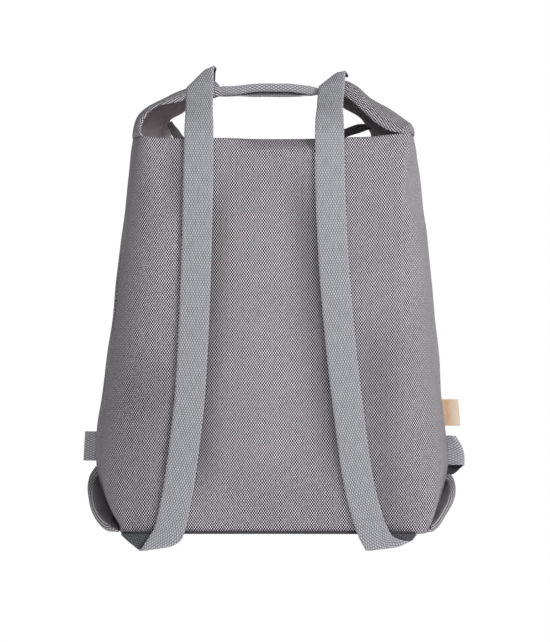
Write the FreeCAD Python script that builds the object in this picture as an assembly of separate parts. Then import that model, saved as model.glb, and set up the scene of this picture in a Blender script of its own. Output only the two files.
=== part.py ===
"""Travel backpack: a soft two-panel sack whose top corners run up into ears that carry a short grab handle.

Frame: origin at the centre of the underside of the base, +Z up, +X to the right as the harness side is seen,
-Y towards the wearer's back. Millimetres. The bag hangs from its grab handle, so the shoulder straps fall
straight down the back and their lower loops hang a little below the base.

Fabric is modelled as walls of its own thickness. Each cut piece of cloth, tape, webbing, leather and zip is
a solid of its own.
"""

import FreeCAD
import Part
import math
import os

V = FreeCAD.Vector

# ---------------------------------------------------------------- driving dimensions
RIM_HEIGHT = 398.0          # straight top edge of the back and front panels
FABRIC = 1.5                # coated main fabric
WEBBING_WIDTH = 30.0        # shoulder straps, side tab and side loop
WEBBING = 1.6               # webbing thickness
SEAM_GAP = 0.1              # between cut pieces that are sewn edge to edge
RUNNING_GAP = 0.4           # between pieces that move past each other
STRAP_CLEARANCE = 1.2       # between a hanging strap and the back panel

# height, half width and corner radius of the filled sack
SACK_SECTIONS = [
    (0.0, 162.0, 16.0),
    (18.0, 181.5, 22.0),
    (42.0, 188.0, 28.0),
    (68.0, 182.5, 30.0),
    (110.0, 178.5, 32.0),
    (160.0, 173.2, 33.0),
    (210.0, 167.5, 34.0),
    (260.0, 162.4, 32.0),
    (310.0, 156.5, 29.0),
    (355.0, 151.0, 23.0),
    (RIM_HEIGHT, 145.5, 16.0),
]
RIM_HALF_WIDTH = SACK_SECTIONS[-1][1]
RIM_CORNER = SACK_SECTIONS[-1][2]
BASE_HALF_WIDTH = SACK_SECTIONS[0][1]
BASE_CORNER = SACK_SECTIONS[0][2]
BELLY_HALF_DEPTH = 68.0     # the panels bow out this far, low down
RIM_HALF_DEPTH = 47.5
BASE_TUCK = 6.0             # the panels turn in by this much at the base
BASE_TUCK_HEIGHT = 42.0

BASE_BOARD = 2.0            # stiffener inside the base
HEM_WIDTH = 12.0            # turned-in hem of the rim
HEM = 1.2
BINDING = 1.2               # tape over the raw edges of the side seams
BINDING_WIDTH = 14.0

EAR_TIP_X = 53.0            # where both ears end and the handle begins
EAR_TIP_Z = 462.0
PIVOT_Z = 450.0             # the straps turn about a line through both ear tips
STRAP_LOOP_RADIUS = 22.0    # inside radius of a strap's loop round its ear
STRAP_END_Z = 12.5          # a strap's swinging length ends here and its sewn tail begins
LOOP_DROP = 17.5            # how far the strap loops hang below the base

HANDLE_LOW_Z = 443.4        # straight lower edge of the folded handle
HANDLE_TOP_Z = 456.4        # its fold, in the middle
HANDLE_RISE = 3.0           # the fold arches by this much
HANDLE_PINCH = 3.8          # the lower edge is gathered up where it enters an ear tip
HANDLE_SPREAD = 5.6         # outside width of the folded webbing
HANDLE_TUCK = 3.5           # the handle's ends reach this far into the ear tips

ZIP_Z = 382.0               # the zip panel lies this high, under the rim
ZIP_HALF_LENGTH = 70.0
CHAIN_HALF_LENGTH = 64.0
CHAIN_GAP = 0.7             # half the clear space between the two halves of the chain
STOP_LENGTH = 2.0
ZIP_PARK = 57.0             # middle of the slider at either end of its travel
FLAP = 1.0
TAPE = 0.8
TAPE_WIDTH = 12.0
COIL_WIDTH = 2.4
COIL_HEIGHT = 2.4
SLIDER_LENGTH = 9.0
SLIDER_WIDTH = 9.0
SLIDER_PLATE = 1.0
SLIDER_POST = 0.3           # half the thickness of the post between the two halves of the chain
PULL_LENGTH = 24.0
PULL_WIDTH = 7.0
PULL = 1.0

TAB_LOW_Z = 68.0            # webbing tab on the left side seam
TAB_REACH = 12.5
LOOP_LOW_Z = 60.0           # webbing loop on the right side seam
LOOP_REACH = 13.0
LOOP_OPENING = 7.0
LABEL_LOW_Z = 104.5         # folded leather label above the loop
LABEL_HEIGHT = 27.0
LABEL_REACH = 15.0
LABEL_SKIN = 1.3

# middle line of each strap, from its loop down to its sewn tail: (height, x)
STRAP_LINE_LEFT = [
    (PIVOT_Z, -74.5), (425.0, -74.2), (RIM_HEIGHT + 4, -74.0), (RIM_HEIGHT - 4, -74.0), (375.0, -74.3),
    (300.0, -76.0), (233.0, -77.8), (183.0, -79.8), (133.0, -83.5), (90.0, -87.5), (49.0, -93.0),
    (28.0, -97.0), (STRAP_END_Z, -101.0),
]
STRAP_LINE_RIGHT = [
    (PIVOT_Z, 58.0), (425.0, 57.6), (RIM_HEIGHT + 4, 57.2), (RIM_HEIGHT - 4, 57.2), (375.0, 57.4),
    (320.0, 58.7), (250.0, 62.5), (183.0, 68.5), (140.0, 73.0), (100.0, 78.5), (55.0, 85.5),
    (28.0, 91.0), (STRAP_END_Z, 95.0),
]
TAIL_SHIFT_LEFT = -36.0     # each tail folds outwards to its seam near the corner
TAIL_SHIFT_RIGHT = 29.0

os.makedirs("parts", exist_ok=True)


# ---------------------------------------------------------------- helpers
def save(name, shape):
    """Writes one node; a list is a group of separate solids."""
    if isinstance(shape, list):
        shape = Part.makeCompound(shape)
    shape.exportStep("parts/" + name + ".step")
    solids = shape.Solids
    print(name, len(solids), "solids", round(shape.Volume), "mm3", "valid", shape.isValid())


def box(x0, x1, y0, y1, z0, z1):
    return Part.makeBox(x1 - x0, y1 - y0, z1 - z0, V(x0, y0, z0))


def rounded_section(half_width, half_depth, corner, z):
    """Closed rounded rectangle in a level plane, starting in the middle of the front."""
    w, d, r = half_width, half_depth, corner
    s = r * (1 - math.sqrt(0.5))
    edges = [
        Part.makeLine(V(-w + r, -d, z), V(w - r, -d, z)),
        Part.Arc(V(w - r, -d, z), V(w - s, -d + s, z), V(w, -d + r, z)).toShape(),
        Part.makeLine(V(w, -d + r, z), V(w, d - r, z)),
        Part.Arc(V(w, d - r, z), V(w - s, d - s, z), V(w - r, d, z)).toShape(),
        Part.makeLine(V(w - r, d, z), V(-w + r, d, z)),
        Part.Arc(V(-w + r, d, z), V(-w + s, d - s, z), V(-w, d - r, z)).toShape(),
        Part.makeLine(V(-w, d - r, z), V(-w, -d + r, z)),
        Part.Arc(V(-w, -d + r, z), V(-w + s, -d + s, z), V(-w + r, -d, z)).toShape(),
    ]
    return Part.Wire(edges)


def half_depth(z):
    """Half depth of the sack at a height: bowed out low down, tucked in at the base."""
    taper = (BELLY_HALF_DEPTH - RIM_HALF_DEPTH) * (z / RIM_HEIGHT) ** 2
    tuck = BASE_TUCK * max(0.0, 1.0 - z / BASE_TUCK_HEIGHT) ** 2
    return BELLY_HALF_DEPTH - taper - tuck


def half_width(z):
    """Half width of the sack at a height, by straight lines between its sections."""
    for (z0, w0, _), (z1, w1, _) in zip(SACK_SECTIONS, SACK_SECTIONS[1:]):
        if z0 <= z <= z1:
            return w0 + (w1 - w0) * (z - z0) / (z1 - z0)
    return RIM_HALF_WIDTH


def sack_solid(inset, overrun=0.0):
    """The filled sack, its walls moved in by inset; overrun carries it straight past both ends."""
    wires = [rounded_section(w - inset, half_depth(z) - inset, r - inset, z) for z, w, r in SACK_SECTIONS]
    body = Part.makeLoft(wires, True, False)
    if overrun:
        bottom = Part.Face(wires[0]).extrude(V(0, 0, -overrun))
        top = Part.Face(wires[-1]).extrude(V(0, 0, overrun))
        body = body.fuse([bottom, top])
    return body


def strip_section(centre, across, normal, width, thickness):
    """Rectangle of a strip's cross-section, set by its middle, its width direction and its face normal."""
    a = V(across).normalize() * (width / 2)
    n = V(normal).normalize() * (thickness / 2)
    corners = [centre - a - n, centre + a - n, centre + a + n, centre - a + n]
    return Part.makePolygon(corners + [corners[0]])


def mirrored_x(shape):
    return shape.mirror(V(0, 0, 0), V(1, 0, 0))


# ---------------------------------------------------------------- sack
def sack_panels():
    """Back and front panel: each wraps half of both sides, and they meet in the side seams at y 0."""
    walls = sack_solid(0.0).cut(sack_solid(FABRIC, 5.0))
    reach = 250.0
    back = walls.common(box(-reach, reach, -reach, -SEAM_GAP / 2, -1, RIM_HEIGHT + 1))
    front = walls.common(box(-reach, reach, SEAM_GAP / 2, reach, -1, RIM_HEIGHT + 1))
    return back, front


def base_panel():
    inset = FABRIC + SEAM_GAP
    outline = rounded_section(BASE_HALF_WIDTH - inset, half_depth(0) - inset, BASE_CORNER - inset, 0)
    return Part.Face(outline).extrude(V(0, 0, FABRIC))


def base_board():
    inset = FABRIC + 3.0
    low = FABRIC + SEAM_GAP
    outline = rounded_section(BASE_HALF_WIDTH - inset, half_depth(0) - inset, BASE_CORNER - 4.0, low)
    return Part.Face(outline).extrude(V(0, 0, BASE_BOARD))


def rim_hems():
    """Turned-in hem along the back and the front of the rim, on the inside, between the ears."""
    outer = FABRIC + SEAM_GAP
    ring = sack_solid(outer).cut(sack_solid(outer + HEM, 5.0))
    reach = RIM_HALF_WIDTH - RIM_CORNER
    low = RIM_HEIGHT - HEM_WIDTH
    back = ring.common(box(-reach, reach, -90, -20, low, RIM_HEIGHT - 0.2))
    front = ring.common(box(-reach, reach, 20, 90, low, RIM_HEIGHT - 0.2))
    return back, front


def seam_bindings():
    """Tape that covers the raw edges of each side seam, on the inside, from the base to the rim."""
    outer = FABRIC + SEAM_GAP
    ring = sack_solid(outer).cut(sack_solid(outer + BINDING, 5.0))
    low, high = 30.0, RIM_HEIGHT - 2.0
    half = BINDING_WIDTH / 2
    left = ring.common(box(-250, 0, -half, half, low, high))
    right = ring.common(box(0, 250, -half, half, low, high))
    return left, right


# ---------------------------------------------------------------- ears and handle
def ear_section(x, z, lean, half_width, drop, corner):
    """Open-bottomed arch of cloth across the ear, with its crown at (x, z).

    The crown's normal leans from -X at 0 degrees up to +Z at 90.
    """
    angle = math.radians(lean)
    normal = V(-math.cos(angle), 0, math.sin(angle))
    crown = V(x, 0, z)

    def at(y, depth):
        return crown - normal * depth + V(0, y, 0)

    def half_arch(side, inset):
        """Leg and corner arc on one side, from the foot up to the crown."""
        edge = side * (half_width - inset)
        radius = corner - inset
        short = radius * (1 - math.sqrt(0.5))
        leg = Part.makeLine(at(edge, drop), at(edge, corner))
        bend = Part.Arc(at(edge, corner), at(edge - side * short, inset + short),
                        at(edge - side * radius, inset)).toShape()
        return [leg, bend]

    flat = half_width - corner
    edges = half_arch(-1, 0.0) + [Part.makeLine(at(-flat, 0), at(flat, 0))] + half_arch(1, 0.0)
    edges += [Part.makeLine(at(half_width, drop), at(half_width - FABRIC, drop))]
    edges += half_arch(1, FABRIC) + [Part.makeLine(at(flat, FABRIC), at(-flat, FABRIC))]
    edges += half_arch(-1, FABRIC)
    edges += [Part.makeLine(at(-half_width, drop), at(-half_width + FABRIC, drop))]
    return Part.Wire(Part.__sortEdges__(edges))


def ear_left():
    """Hood of cloth from the top of the side up and inwards to the handle."""
    sections = [
        (-RIM_HALF_WIDTH, RIM_HEIGHT + SEAM_GAP, 0.0, RIM_HALF_DEPTH, RIM_CORNER + 2.0, RIM_CORNER),
        (-141.5, 416.0, 25.0, 43.0, 19.0, 15.0),
        (-128.0, 433.0, 50.0, 33.0, 19.0, 13.0),
        (-106.0, 446.0, 63.0, 20.5, 17.0, 11.0),
        (-86.0, 454.5, 71.0, 13.0, 15.0, 9.0),
        (-EAR_TIP_X, EAR_TIP_Z, 80.0, 9.5, 17.0, 7.5),
    ]
    return Part.makeLoft([ear_section(*section) for section in sections], True, False)


def grab_handle():
    """Webbing folded lengthwise over itself, open along its lower edge, with a slight arch.

    Both ends turn inside the ear tips, about a line 3.9 mm below the top of the fold.
    """
    half, inner = HANDLE_SPREAD / 2, HANDLE_SPREAD / 2 - WEBBING
    sections = []
    for share in (-1.0, -0.86, -0.5, 0.0, 0.5, 0.86, 1.0):
        x = share * (EAR_TIP_X + HANDLE_TUCK)
        low = HANDLE_LOW_Z + (HANDLE_PINCH if abs(share) == 1.0 else 0.0)
        high = HANDLE_TOP_Z - HANDLE_RISE * share * share
        corners = [
            V(x, -half, low), V(x, -half, high), V(x, half, high), V(x, half, low),
            V(x, inner, low), V(x, inner, high - WEBBING), V(x, -inner, high - WEBBING), V(x, -inner, low),
        ]
        sections.append(Part.makePolygon(corners + [corners[0]]))
    return Part.makeLoft(sections, True, True)


# ---------------------------------------------------------------- shoulder straps
def strap_y(z):
    """How far back the middle of the strap lies: on the panel below the rim, then over to its loop."""
    bend = RIM_HEIGHT + 4.0
    on_panel = -(half_depth(min(z, RIM_HEIGHT)) + WEBBING / 2 + STRAP_CLEARANCE)
    on_loop = -(STRAP_LOOP_RADIUS + WEBBING / 2)
    share = max(0.0, (z - bend) / (PIVOT_Z - bend))
    return on_panel + (on_loop - on_panel) * share


def strap(line):
    """Round loop about the ear, and the hanging length down the back in the same piece of webbing."""
    sections = []
    for z, x in line:
        sections.append(strip_section(V(x, strap_y(z), z), V(1, 0, 0), V(0, 1, 0), WEBBING_WIDTH, WEBBING))
    leg = Part.makeLoft(sections, True, True)
    centre = V(line[0][1] - WEBBING_WIDTH / 2, 0, PIVOT_Z)
    outer = Part.makeCylinder(STRAP_LOOP_RADIUS + WEBBING, WEBBING_WIDTH, centre, V(1, 0, 0))
    inner = Part.makeCylinder(STRAP_LOOP_RADIUS, WEBBING_WIDTH, centre, V(1, 0, 0))
    return outer.cut(inner).fuse(leg.cut(inner))


def strap_tail(line, shift):
    """Fixed end of a strap: down past the base, round a fold and up to the seam at the base's back edge."""
    x = line[-1][1]
    seam_y = -(half_depth(0) + WEBBING / 2 + 0.2)
    near_y = strap_y(STRAP_END_Z)
    fold_y = (seam_y + near_y - 3.0) / 2
    deep = -LOOP_DROP + WEBBING / 2
    stations = [
        (x, near_y, STRAP_END_Z - RUNNING_GAP, (0, 1, 0)),
        (x + 0.22 * shift, near_y - 2.0, 0.0, (0, 1, 0)),
        (x + 0.42 * shift, near_y - 3.0, deep + 4.0, (0, 1, 0.3)),
        (x + 0.55 * shift, fold_y, deep, (0, 0, 1)),
        (x + 0.68 * shift, seam_y, deep + 4.0, (0, -1, 0.3)),
        (x + shift, seam_y, -0.3, (0, -1, 0)),
    ]
    sections = [strip_section(V(*s[:3]), V(1, 0, 0), V(*s[3]), WEBBING_WIDTH, WEBBING) for s in stations]
    return Part.makeLoft(sections, True, True)


# ---------------------------------------------------------------- side tab, loop and label
def folded_strip(reach, height, low_z, opening, skin):
    """Strip folded double out of the right side seam; opening is the gap between its two legs."""
    root_x = max(half_width(low_z), half_width(low_z + height)) + 0.3
    half = opening / 2 + skin
    outer = box(root_x, root_x + reach - half, -half, half, low_z, low_z + height)
    nose = Part.makeCylinder(half, height, V(root_x + reach - half, 0, low_z))
    body = outer.fuse(nose)
    hollow = box(root_x - 1, root_x + reach - half, -opening / 2, opening / 2, low_z - 1, low_z + height + 1)
    bore = Part.makeCylinder(opening / 2, height + 2, V(root_x + reach - half, 0, low_z - 1))
    return body.cut(hollow.fuse(bore)).removeSplitter()


# ---------------------------------------------------------------- zip panel
def flap_back():
    """Cloth strip from the hem of the back rim to the zip."""
    edge = half_depth(ZIP_Z) - FABRIC - 0.4
    low = ZIP_Z + TAPE / 2 + 0.05
    return box(-ZIP_HALF_LENGTH, ZIP_HALF_LENGTH, -edge, -SLIDER_WIDTH / 2 - 1.5, low, low + FLAP)


def tape_back():
    inner = CHAIN_GAP + COIL_WIDTH
    low, high = ZIP_Z - TAPE / 2, ZIP_Z + TAPE / 2
    return box(-ZIP_HALF_LENGTH, ZIP_HALF_LENGTH, -inner - TAPE_WIDTH, -inner, low, high)


def coil_back():
    """Half of the nylon chain along the tape's edge."""
    low, high = ZIP_Z - COIL_HEIGHT / 2, ZIP_Z + COIL_HEIGHT / 2
    return box(-CHAIN_HALF_LENGTH, CHAIN_HALF_LENGTH, -CHAIN_GAP - COIL_WIDTH, -CHAIN_GAP, low, high)


def coil_stops():
    """Metal stops clamped across both tapes at the two ends of the chain."""
    half = CHAIN_GAP + COIL_WIDTH
    low, high = ZIP_Z - COIL_HEIGHT / 2, ZIP_Z + COIL_HEIGHT / 2
    start = CHAIN_HALF_LENGTH + SEAM_GAP
    right = box(start, start + STOP_LENGTH, -half, half, low, high)
    return [right, mirrored_x(right)]


def zip_slider():
    """Two plates joined by a thin post between the two halves of the chain, with a bridge for the pull."""
    x0, x1 = ZIP_PARK - SLIDER_LENGTH / 2, ZIP_PARK + SLIDER_LENGTH / 2
    half = SLIDER_WIDTH / 2
    gap = COIL_HEIGHT / 2 + RUNNING_GAP
    deck = ZIP_Z + gap + SLIDER_PLATE
    top = box(x0, x1, -half, half, ZIP_Z + gap, deck)
    bottom = box(x0, x1, -half, half, ZIP_Z - gap - SLIDER_PLATE, ZIP_Z - gap)
    post = box(x1 - 3.0, x1, -SLIDER_POST, SLIDER_POST, ZIP_Z - gap, ZIP_Z + gap)
    bridge = box(x0 + 1.5, x1 - 1.5, -1.0, 1.0, deck, deck + 3.4)
    eye = box(x0 + 2.7, x1 - 2.7, -1.1, 1.1, deck, deck + 2.4)
    return top.fuse([bottom, post, bridge.cut(eye)]).removeSplitter()


def zip_pull():
    """Flat metal tongue with a crossbar through the bridge; it lies back along the chain."""
    z = ZIP_Z + COIL_HEIGHT / 2 + RUNNING_GAP + SLIDER_PLATE + 1.2
    half, thin = PULL_WIDTH / 2, PULL / 2
    bar = Part.makeCylinder(0.7, PULL_WIDTH, V(ZIP_PARK, -half, z), V(0, 1, 0))
    outline = box(ZIP_PARK - PULL_LENGTH, ZIP_PARK + 0.5, -half, half, z - thin, z + thin)
    window = box(ZIP_PARK - 6.5, ZIP_PARK + 1.0, -1.7, 1.7, z - 1, z + 1)
    return bar.fuse(outline.cut(window)).removeSplitter()


def zip_tail_right():
    """Free end of the zip, stood on edge and carried up to the far leg of the ear, where it is tacked."""
    path = [(ZIP_HALF_LENGTH + 0.5, 6.5, ZIP_Z + 3), (80.0, 9.0, ZIP_Z + 9), (90.0, 14.0, 402.5),
            (98.0, 18.5, 414.5), (102.5, 19.5, 423.0)]
    sections = []
    for (x, y, z) in path:
        sections.append(strip_section(V(x, y, z), V(-0.75, 0, 0.66), V(0, 1, 0), 12.0, 1.6))
    return Part.makeLoft(sections, True, True)


# ---------------------------------------------------------------- thread
def bar_tacks():
    """Dense rows of thread where the tails enter the base seam, on the outside of the back panel."""
    tacks = []
    for line, shift in ((STRAP_LINE_LEFT, TAIL_SHIFT_LEFT), (STRAP_LINE_RIGHT, TAIL_SHIFT_RIGHT)):
        x = line[-1][1] + shift
        y = -(half_depth(0) + WEBBING + 0.6)
        tacks.append(box(x - 13.0, x + 13.0, y - 0.7, y, -4.0, -2.2))
    return tacks


def main():
    back, front = sack_panels()
    save("back_panel", back)
    save("front_panel", front)
    save("base_panel", base_panel())
    save("base_board", base_board())
    hem_back, hem_front = rim_hems()
    save("rim_hem_back", hem_back)
    save("rim_hem_front", hem_front)
    binding_left, binding_right = seam_bindings()
    save("seam_binding_left", binding_left)
    save("seam_binding_right", binding_right)

    ear = ear_left()
    save("ear_left", ear)
    save("ear_right", mirrored_x(ear))
    save("grab_handle", grab_handle())

    save("strap_left", strap(STRAP_LINE_LEFT))
    save("strap_right", strap(STRAP_LINE_RIGHT))
    save("strap_tail_left", strap_tail(STRAP_LINE_LEFT, TAIL_SHIFT_LEFT))
    save("strap_tail_right", strap_tail(STRAP_LINE_RIGHT, TAIL_SHIFT_RIGHT))
    save("bar_tacks", bar_tacks())

    save("side_tab_left", mirrored_x(folded_strip(TAB_REACH, WEBBING_WIDTH, TAB_LOW_Z, 0.6, WEBBING)))
    save("side_loop_right", folded_strip(LOOP_REACH, WEBBING_WIDTH, LOOP_LOW_Z, LOOP_OPENING, WEBBING))
    save("leather_label", folded_strip(LABEL_REACH, LABEL_HEIGHT, LABEL_LOW_Z, 0.4, LABEL_SKIN))

    turn = V(0, 1, 0)
    save("zip_flap_back", flap_back())
    save("zip_flap_front", flap_back().mirror(V(0, 0, 0), turn))
    save("zip_tape_back", tape_back())
    save("zip_tape_front", tape_back().mirror(V(0, 0, 0), turn))
    save("zip_coil_back", coil_back())
    save("zip_coil_front", coil_back().mirror(V(0, 0, 0), turn))
    save("coil_stops", coil_stops())
    save("zip_slider", zip_slider())
    save("zip_pull", zip_pull())
    tail = zip_tail_right()
    save("zip_tail_right", tail)
    save("zip_tail_left", mirrored_x(tail))


main()
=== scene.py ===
"""Looks of the travel backpack: woven sack, cloth ears, folded handle, webbing straps, trims and zip.

Every shape is given in millimetres in the bag's own frame: +X right as the harness side is seen, -Y
towards the wearer, +Z up, origin under the middle of the base.
"""

import math

import bmesh
import bpy
from mathutils import Matrix, Vector, noise


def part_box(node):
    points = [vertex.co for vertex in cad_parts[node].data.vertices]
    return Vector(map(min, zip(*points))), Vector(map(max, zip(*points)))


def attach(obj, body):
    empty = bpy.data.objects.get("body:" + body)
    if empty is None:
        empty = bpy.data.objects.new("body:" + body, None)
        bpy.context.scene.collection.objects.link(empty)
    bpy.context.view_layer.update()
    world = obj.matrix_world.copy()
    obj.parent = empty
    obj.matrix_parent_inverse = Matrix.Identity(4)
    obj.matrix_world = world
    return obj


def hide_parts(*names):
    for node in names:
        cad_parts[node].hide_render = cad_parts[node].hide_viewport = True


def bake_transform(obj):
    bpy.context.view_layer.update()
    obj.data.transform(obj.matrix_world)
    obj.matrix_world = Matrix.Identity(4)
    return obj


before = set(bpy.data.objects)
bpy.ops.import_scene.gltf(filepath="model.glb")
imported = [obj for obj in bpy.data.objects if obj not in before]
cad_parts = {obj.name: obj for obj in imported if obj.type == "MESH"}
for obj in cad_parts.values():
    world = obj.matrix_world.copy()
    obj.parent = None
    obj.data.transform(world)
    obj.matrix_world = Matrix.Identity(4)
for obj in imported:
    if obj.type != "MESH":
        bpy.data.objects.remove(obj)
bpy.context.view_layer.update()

bl_info = {
    "name": "Webbing Backpack",
    "version": (1, 0, 0),
    "blender": (4, 5, 0),
    "location": "View3D > Sidebar > Backpack",
    "description": "Builds the soft parts, webbing and trims of a hanging backpack around its packed frame",
    "category": "Add Mesh",
}

MM = 0.001
FABRIC = 1.5
WEBBING = 1.6
WEBBING_WIDTH = 30.0
BAG = "bag"
MID_BAG = (0, 0, 200)


# ---------------------------------------------------------------- settings
class BackpackCloth(bpy.types.PropertyGroup):
    """Body fabric of the sack and the ears."""

    light: bpy.props.FloatVectorProperty(
        name="Light yarn", description="Colour of the pale floats", subtype="COLOR", size=3,
        default=(0.985, 0.937, 1.0), min=0.0, max=1.0)
    dark: bpy.props.FloatVectorProperty(
        name="Dark yarn", description="Colour of the charcoal floats", subtype="COLOR", size=3,
        default=(0.010, 0.009, 0.011), min=0.0, max=1.0)
    coating: bpy.props.FloatVectorProperty(
        name="Coating", description="Colour of the coated inner face", subtype="COLOR", size=3,
        default=(0.80, 0.725, 0.75), min=0.0, max=1.0)
    float_width: bpy.props.FloatProperty(
        name="Float width", description="Width of one float of the basket weave", unit="LENGTH",
        default=1.23 * MM, min=0.3 * MM, max=5.0 * MM)
    float_height: bpy.props.FloatProperty(
        name="Float height", description="Height of one float of the basket weave", unit="LENGTH",
        default=1.80 * MM, min=0.3 * MM, max=5.0 * MM)
    sag: bpy.props.FloatProperty(
        name="Sag", description="How far the panels hang out of true", unit="LENGTH",
        default=2.2 * MM, min=0.0, max=8.0 * MM)


class BackpackWebbing(bpy.types.PropertyGroup):
    """Straps, handle, tab and loop."""

    face: bpy.props.FloatVectorProperty(
        name="Face", description="Colour of the webbing's outer face", subtype="COLOR", size=3,
        default=(0.515, 0.518, 0.556), min=0.0, max=1.0)
    # painted shade: the reverse's dark colour stands in for the shade on the straps' far legs and the tab's
    # inside
    reverse: bpy.props.FloatVectorProperty(
        name="Reverse", description="Colour of the webbing's inner face", subtype="COLOR", size=3,
        default=(0.125, 0.127, 0.14), min=0.0, max=1.0)
    bead: bpy.props.FloatProperty(
        name="Bead", description="Half the distance between two beads of one pick", unit="LENGTH",
        default=1.25 * MM, min=0.3 * MM, max=4.0 * MM)
    pick: bpy.props.FloatProperty(
        name="Pick", description="Distance between two picks along the webbing", unit="LENGTH",
        default=2.44 * MM, min=0.3 * MM, max=6.0 * MM)
    leather: bpy.props.FloatVectorProperty(
        name="Leather", description="Colour of the label's face", subtype="COLOR", size=3,
        default=(0.86, 0.64, 0.46), min=0.0, max=1.0)


class BackpackStage(bpy.types.PropertyGroup):
    """Camera, floor and lights."""

    distance: bpy.props.FloatProperty(
        name="Distance", description="Camera distance from the middle of the bag", unit="LENGTH",
        default=2.0, min=0.5, max=10.0)
    lens: bpy.props.FloatProperty(
        name="Lens", description="Focal length in millimetres", default=108.8, min=20.0, max=300.0)
    floor_drop: bpy.props.FloatProperty(
        name="Floor drop", description="How far the floor lies below the hanging bag", unit="LENGTH",
        default=0.6, min=0.03, max=2.0)
    key: bpy.props.FloatProperty(name="Key", description="Power of the main lamp", default=14.6, min=0.0)
    sky: bpy.props.FloatProperty(
        name="Sky", description="Light given by the white surround", default=0.22, min=0.0)


# ---------------------------------------------------------------- curves
def along(keys, t):
    """Numbers at t on a smooth curve through keys, each (t, number, ...)."""
    if t <= keys[0][0]:
        return list(keys[0][1:])
    if t >= keys[-1][0]:
        return list(keys[-1][1:])
    i = next(k for k in range(len(keys) - 1) if t <= keys[k + 1][0])
    here, there = keys[i], keys[i + 1]
    before, after = keys[max(i - 1, 0)], keys[min(i + 2, len(keys) - 1)]
    span = there[0] - here[0]
    s = (t - here[0]) / span
    out = []
    for a, b, c, d in zip(before[1:], here[1:], there[1:], after[1:]):
        slope_in = (c - a) / (there[0] - before[0]) * span
        slope_out = (d - b) / (after[0] - here[0]) * span
        out.append(b * (2 * s**3 - 3 * s**2 + 1) + slope_in * (s**3 - 2 * s**2 + s)
                   + c * (3 * s**2 - 2 * s**3) + slope_out * (s**3 - s**2))
    return out


def ease(t):
    """0 to 1 with soft ends."""
    t = min(1.0, max(0.0, t))
    return t * t * (3 - 2 * t)


def ripple(x, y, z, scale, seed):
    """Smooth noise from -1 to 1 that changes over about scale millimetres."""
    return noise.noise(Vector((x / scale, y / scale, z / scale + 17.3 * seed)))


# ---------------------------------------------------------------- mesh helpers
def finish_piece(bm, name, body, materials, node_names=()):
    """Turns a bmesh in metres into a shown piece that rides on a body."""
    mesh = bpy.data.meshes.new(name)
    bm.to_mesh(mesh)
    bm.free()
    for material in materials:
        mesh.materials.append(material)
    for polygon in mesh.polygons:
        polygon.use_smooth = True
    piece = bpy.data.objects.new(name, mesh)
    bpy.context.scene.collection.objects.link(piece)
    if body:
        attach(piece, body)
    if node_names:
        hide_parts(*node_names)
    return piece


def cloth_grid(across, along_count, place):
    """Grid of cloth; place(u, v) gives its point and its place on the flat cloth, both in millimetres."""
    bm = bmesh.new()
    bmesh.ops.create_grid(bm, x_segments=across, y_segments=along_count, size=0.5)
    flat = bm.loops.layers.uv.new("cloth")
    on_flat = {}
    for vert in bm.verts:
        point, spot = place(vert.co.x + 0.5, vert.co.y + 0.5)
        on_flat[vert] = (spot[0] * MM, spot[1] * MM)
        vert.co = Vector(point) * MM
    for face in bm.faces:
        for loop in face.loops:
            loop[flat].uv = on_flat[loop.vert]
    bm.normal_update()
    return bm


def measured_grid(across, along_count, shape):
    """Grid of cloth over shape(u, v), with its flat coordinates measured along the cloth itself."""
    rows = [[Vector(shape(i / across, j / along_count)) for i in range(across + 1)]
            for j in range(along_count + 1)]
    middle = across // 2
    flat, travelled = [], 0.0
    for j, row in enumerate(rows):
        if j:
            travelled += (row[middle] - rows[j - 1][middle]).length
        spots = [0.0] * (across + 1)
        for i in range(middle + 1, across + 1):
            spots[i] = spots[i - 1] + (row[i] - row[i - 1]).length
        for i in range(middle - 1, -1, -1):
            spots[i] = spots[i + 1] - (row[i] - row[i + 1]).length
        flat.append([(spot, travelled) for spot in spots])

    def place(u, v):
        i, j = round(u * across), round(v * along_count)
        return rows[j][i], flat[j][i]
    return cloth_grid(across, along_count, place)


def faces_away_from(bm, middle):
    """Turns an open sheet so that it faces away from a point, in millimetres."""
    total = sum((face.normal.dot(face.calc_center_median() - Vector(middle) * MM) * face.calc_area())
                for face in bm.faces)
    if total < 0:
        bmesh.ops.reverse_faces(bm, faces=bm.faces)


def faces_along(bm, direction, counted=None):
    """Turns an open sheet so that its faces, or the ones counted, look along a direction."""
    if sum(face.normal.dot(Vector(direction)) for face in counted or bm.faces) < 0:
        bmesh.ops.reverse_faces(bm, faces=bm.faces)


def sew(bm, name, skins, nodes, thickness, away=None, body=BAG, offset=-1.0, inner_slot=1):
    """Makes a thick piece of a sheet that faces away from a point, with its inner face in its own skin."""
    if away is not None:
        faces_away_from(bm, away)
    piece = finish_piece(bm, name, body, skins, nodes)
    solid = piece.modifiers.new("Thickness", "SOLIDIFY")
    solid.thickness = thickness * MM
    solid.offset = offset
    solid.material_offset = inner_slot
    solid.use_even_offset = False
    return piece


def add_bead(bm, spot, turn, half_sizes):
    """Adds a small rounded bead at a spot in millimetres, turned by a matrix."""
    shape = Matrix.Diagonal((*half_sizes, 1.0))
    matrix = Matrix.Scale(MM, 4) @ Matrix.Translation(spot) @ turn @ shape
    bmesh.ops.create_icosphere(bm, subdivisions=1, radius=1.0, matrix=matrix)


def add_block(bm, matrix, radius, segments):
    """Adds a block shaped by a matrix in metres, with its edges rounded."""
    cube = bmesh.ops.create_cube(bm, size=1.0, matrix=matrix)
    edges = list({edge for vert in cube["verts"] for edge in vert.link_edges})
    bmesh.ops.bevel(bm, geom=edges, offset=radius, segments=segments, profile=0.5, affect="EDGES",
                    material=-1)


# ---------------------------------------------------------------- shape of the sack
RIM = 398.0
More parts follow.
